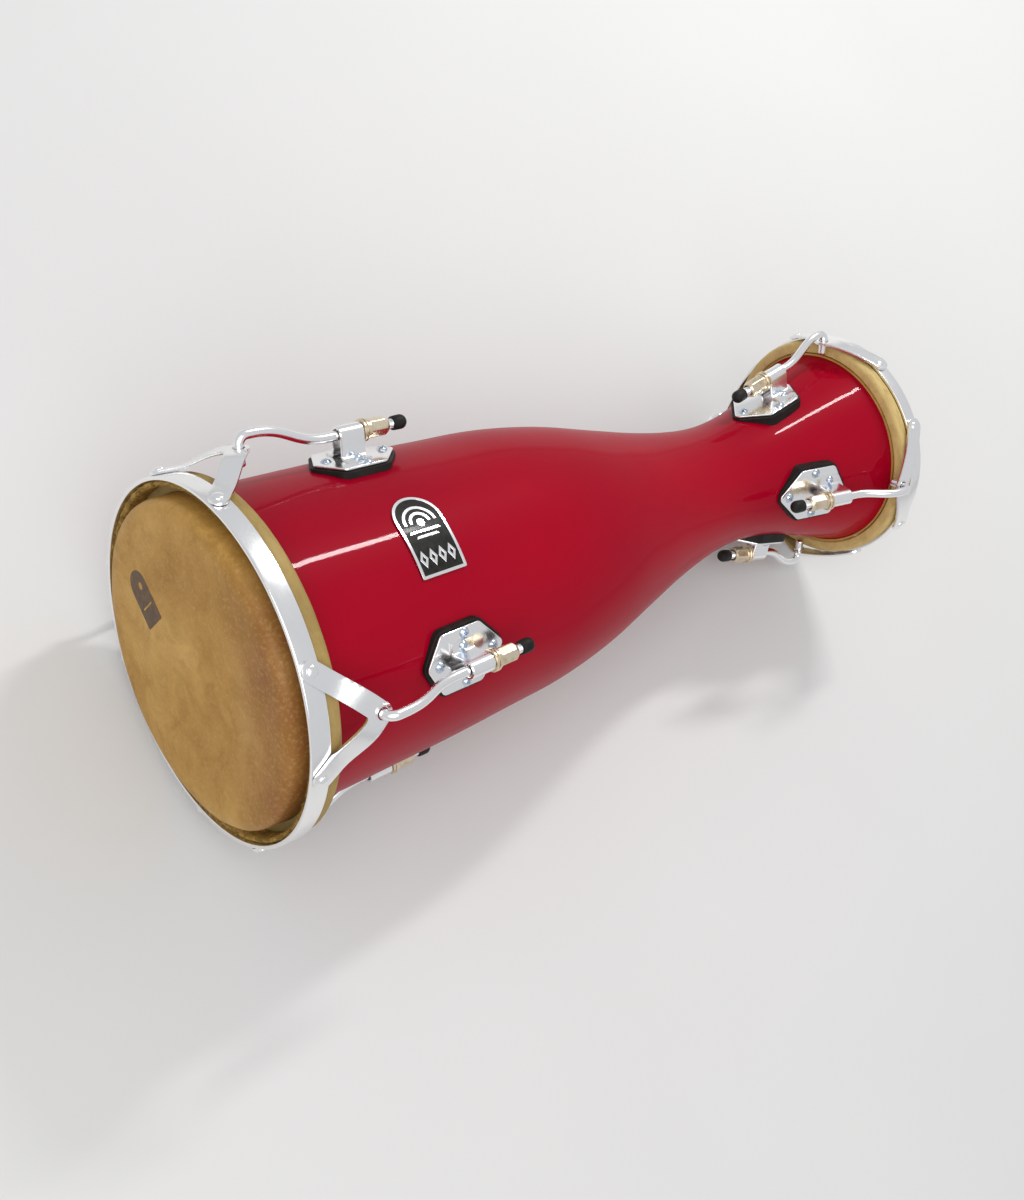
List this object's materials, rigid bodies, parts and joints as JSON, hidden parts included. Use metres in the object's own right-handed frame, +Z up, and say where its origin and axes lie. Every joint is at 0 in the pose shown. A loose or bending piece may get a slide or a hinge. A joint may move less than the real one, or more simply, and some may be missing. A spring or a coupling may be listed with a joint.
{
  "type": "double-headed hourglass drum",
  "caption": "Double-headed hourglass hand drum with a lacquered wooden shell, rawhide heads, steel rims, V claws, tuning rods and lugs.",
  "frame": {"origin": "middle of the footprint box, on the surface the drum lies on", "axes": "+X runs from the large head to the small head, tipped 2.9 degrees down so both rims touch the surface; +Z up"},
  "size_m": [0.7594, 0.2958, 0.2962],
  "materials": {
    "shell_lacquer": "deep red gloss lacquer",
    "badge": "black field with a polished border",
    "rawhide": "mottled tan rawhide",
    "hoop_wrap": "dry wrapped rawhide",
    "chrome_plate": "polished",
    "zinc_plate": "yellow zinc plate",
    "black_rubber": "matt black"
  },
  "bodies": {
    "drum_shell": {"shell": "shell_lacquer", "badge": "badge", "large_skin": "rawhide", "large_lug_bracket_1": "chrome_plate", "large_gasket_1": "black_rubber", "large_lug_bracket_2": "chrome_plate", "large_gasket_2": "black_rubber", "large_lug_bracket_3": "chrome_plate", "large_gasket_3": "black_rubber", "large_lug_bracket_4": "chrome_plate", "large_gasket_4": "black_rubber", "small_skin": "rawhide", "small_lug_bracket_1": "chrome_plate", "small_gasket_1": "black_rubber", "small_lug_bracket_2": "chrome_plate", "small_gasket_2": "black_rubber", "small_lug_bracket_3": "chrome_plate", "small_gasket_3": "black_rubber", "small_lug_bracket_4": "chrome_plate", "small_gasket_4": "black_rubber"},
    "large_head_hardware": {"large_rim": "chrome_plate", "large_flesh_hoop": "hoop_wrap", "large_claw_1": "chrome_plate", "large_tuning_rod_1": "chrome_plate", "large_rod_cap_1": "black_rubber", "large_claw_2": "chrome_plate", "large_tuning_rod_2": "chrome_plate", "large_rod_cap_2": "black_rubber", "large_claw_3": "chrome_plate", "large_tuning_rod_3": "chrome_plate", "large_rod_cap_3": "black_rubber", "large_claw_4": "chrome_plate", "large_tuning_rod_4": "chrome_plate", "large_rod_cap_4": "black_rubber"},
    "large_nut_1": {"large_nut_1": "zinc_plate"},
    "large_nut_2": {"large_nut_2": "zinc_plate"},
    "large_nut_3": {"large_nut_3": "zinc_plate"},
    "large_nut_4": {"large_nut_4": "zinc_plate"},
    "small_head_hardware": {"small_rim": "chrome_plate", "small_flesh_hoop": "hoop_wrap", "small_claw_1": "chrome_plate", "small_tuning_rod_1": "chrome_plate", "small_rod_cap_1": "black_rubber", "small_claw_2": "chrome_plate", "small_tuning_rod_2": "chrome_plate", "small_rod_cap_2": "black_rubber", "small_claw_3": "chrome_plate", "small_tuning_rod_3": "chrome_plate", "small_rod_cap_3": "black_rubber", "small_claw_4": "chrome_plate", "small_tuning_rod_4": "chrome_plate", "small_rod_cap_4": "black_rubber"},
    "small_nut_1": {"small_nut_1": "zinc_plate"},
    "small_nut_2": {"small_nut_2": "zinc_plate"},
    "small_nut_3": {"small_nut_3": "zinc_plate"},
    "small_nut_4": {"small_nut_4": "zinc_plate"}
  },
  "joints": [
    {"name": "large_nut_1_turn", "type": "hinge", "parent": "drum_shell", "child": "large_nut_1", "pos_m": [-0.18514, -0.09344, 0.25381], "axis": [-0.9961, -0.0276, 0.0837], "range_deg": [-1080, 1080]},
    {"name": "large_nut_2_turn", "type": "hinge", "parent": "drum_shell", "child": "large_nut_2", "pos_m": [-0.19553, -0.11416, 0.04647], "axis": [-0.9992, -0.0338, 0.0224], "range_deg": [-1080, 1080]},
    {"name": "large_nut_3_turn", "type": "hinge", "parent": "drum_shell", "child": "large_nut_3", "pos_m": [-0.19657, 0.09344, 0.02577], "axis": [-0.9995, 0.0276, 0.0163], "range_deg": [-1080, 1080]},
    {"name": "large_nut_4_turn", "type": "hinge", "parent": "drum_shell", "child": "large_nut_4", "pos_m": [-0.18618, 0.11416, 0.23311], "axis": [-0.9964, 0.0338, 0.0776], "range_deg": [-1080, 1080]},
    {"name": "large_head_travel", "type": "slide", "parent": "drum_shell", "child": "large_head_hardware", "axis": [0.9987, 0, -0.0501], "range_m": [-0.00374, 0.00374]},
    {"name": "small_nut_1_turn", "type": "hinge", "parent": "drum_shell", "child": "small_nut_1", "pos_m": [0.24541, 0.06321, 0.18121], "axis": [0.9811, 0.1591, 0.1101], "range_deg": [-720, 720]},
    {"name": "small_nut_2_turn", "type": "hinge", "parent": "drum_shell", "child": "small_nut_2", "pos_m": [0.23908, 0.06321, 0.05494], "axis": [0.9652, 0.1591, -0.2077], "range_deg": [-720, 720]},
    {"name": "small_nut_3_turn", "type": "hinge", "parent": "drum_shell", "child": "small_nut_3", "pos_m": [0.23908, -0.06321, 0.05494], "axis": [0.9652, -0.1591, -0.2077], "range_deg": [-720, 720]},
    {"name": "small_nut_4_turn", "type": "hinge", "parent": "drum_shell", "child": "small_nut_4", "pos_m": [0.24541, -0.06321, 0.18121], "axis": [0.9811, -0.1591, 0.1101], "range_deg": [-720, 720]},
    {"name": "small_head_travel", "type": "slide", "parent": "drum_shell", "child": "small_head_hardware", "axis": [-0.9987, 0, 0.0501], "range_m": [-0.00249, 0.00249]}
  ],
  "couplings": [
    {"joint": "large_nut_1_turn", "follows": "large_head_travel", "rad_per_m": 5026.5},
    {"joint": "large_nut_2_turn", "follows": "large_head_travel", "rad_per_m": 5026.5},
    {"joint": "large_nut_3_turn", "follows": "large_head_travel", "rad_per_m": 5026.5},
    {"joint": "large_nut_4_turn", "follows": "large_head_travel", "rad_per_m": 5026.5},
    {"joint": "small_nut_1_turn", "follows": "small_head_travel", "rad_per_m": 5026.5},
    {"joint": "small_nut_2_turn", "follows": "small_head_travel", "rad_per_m": 5026.5},
    {"joint": "small_nut_3_turn", "follows": "small_head_travel", "rad_per_m": 5026.5},
    {"joint": "small_nut_4_turn", "follows": "small_head_travel", "rad_per_m": 5026.5}
  ]
}
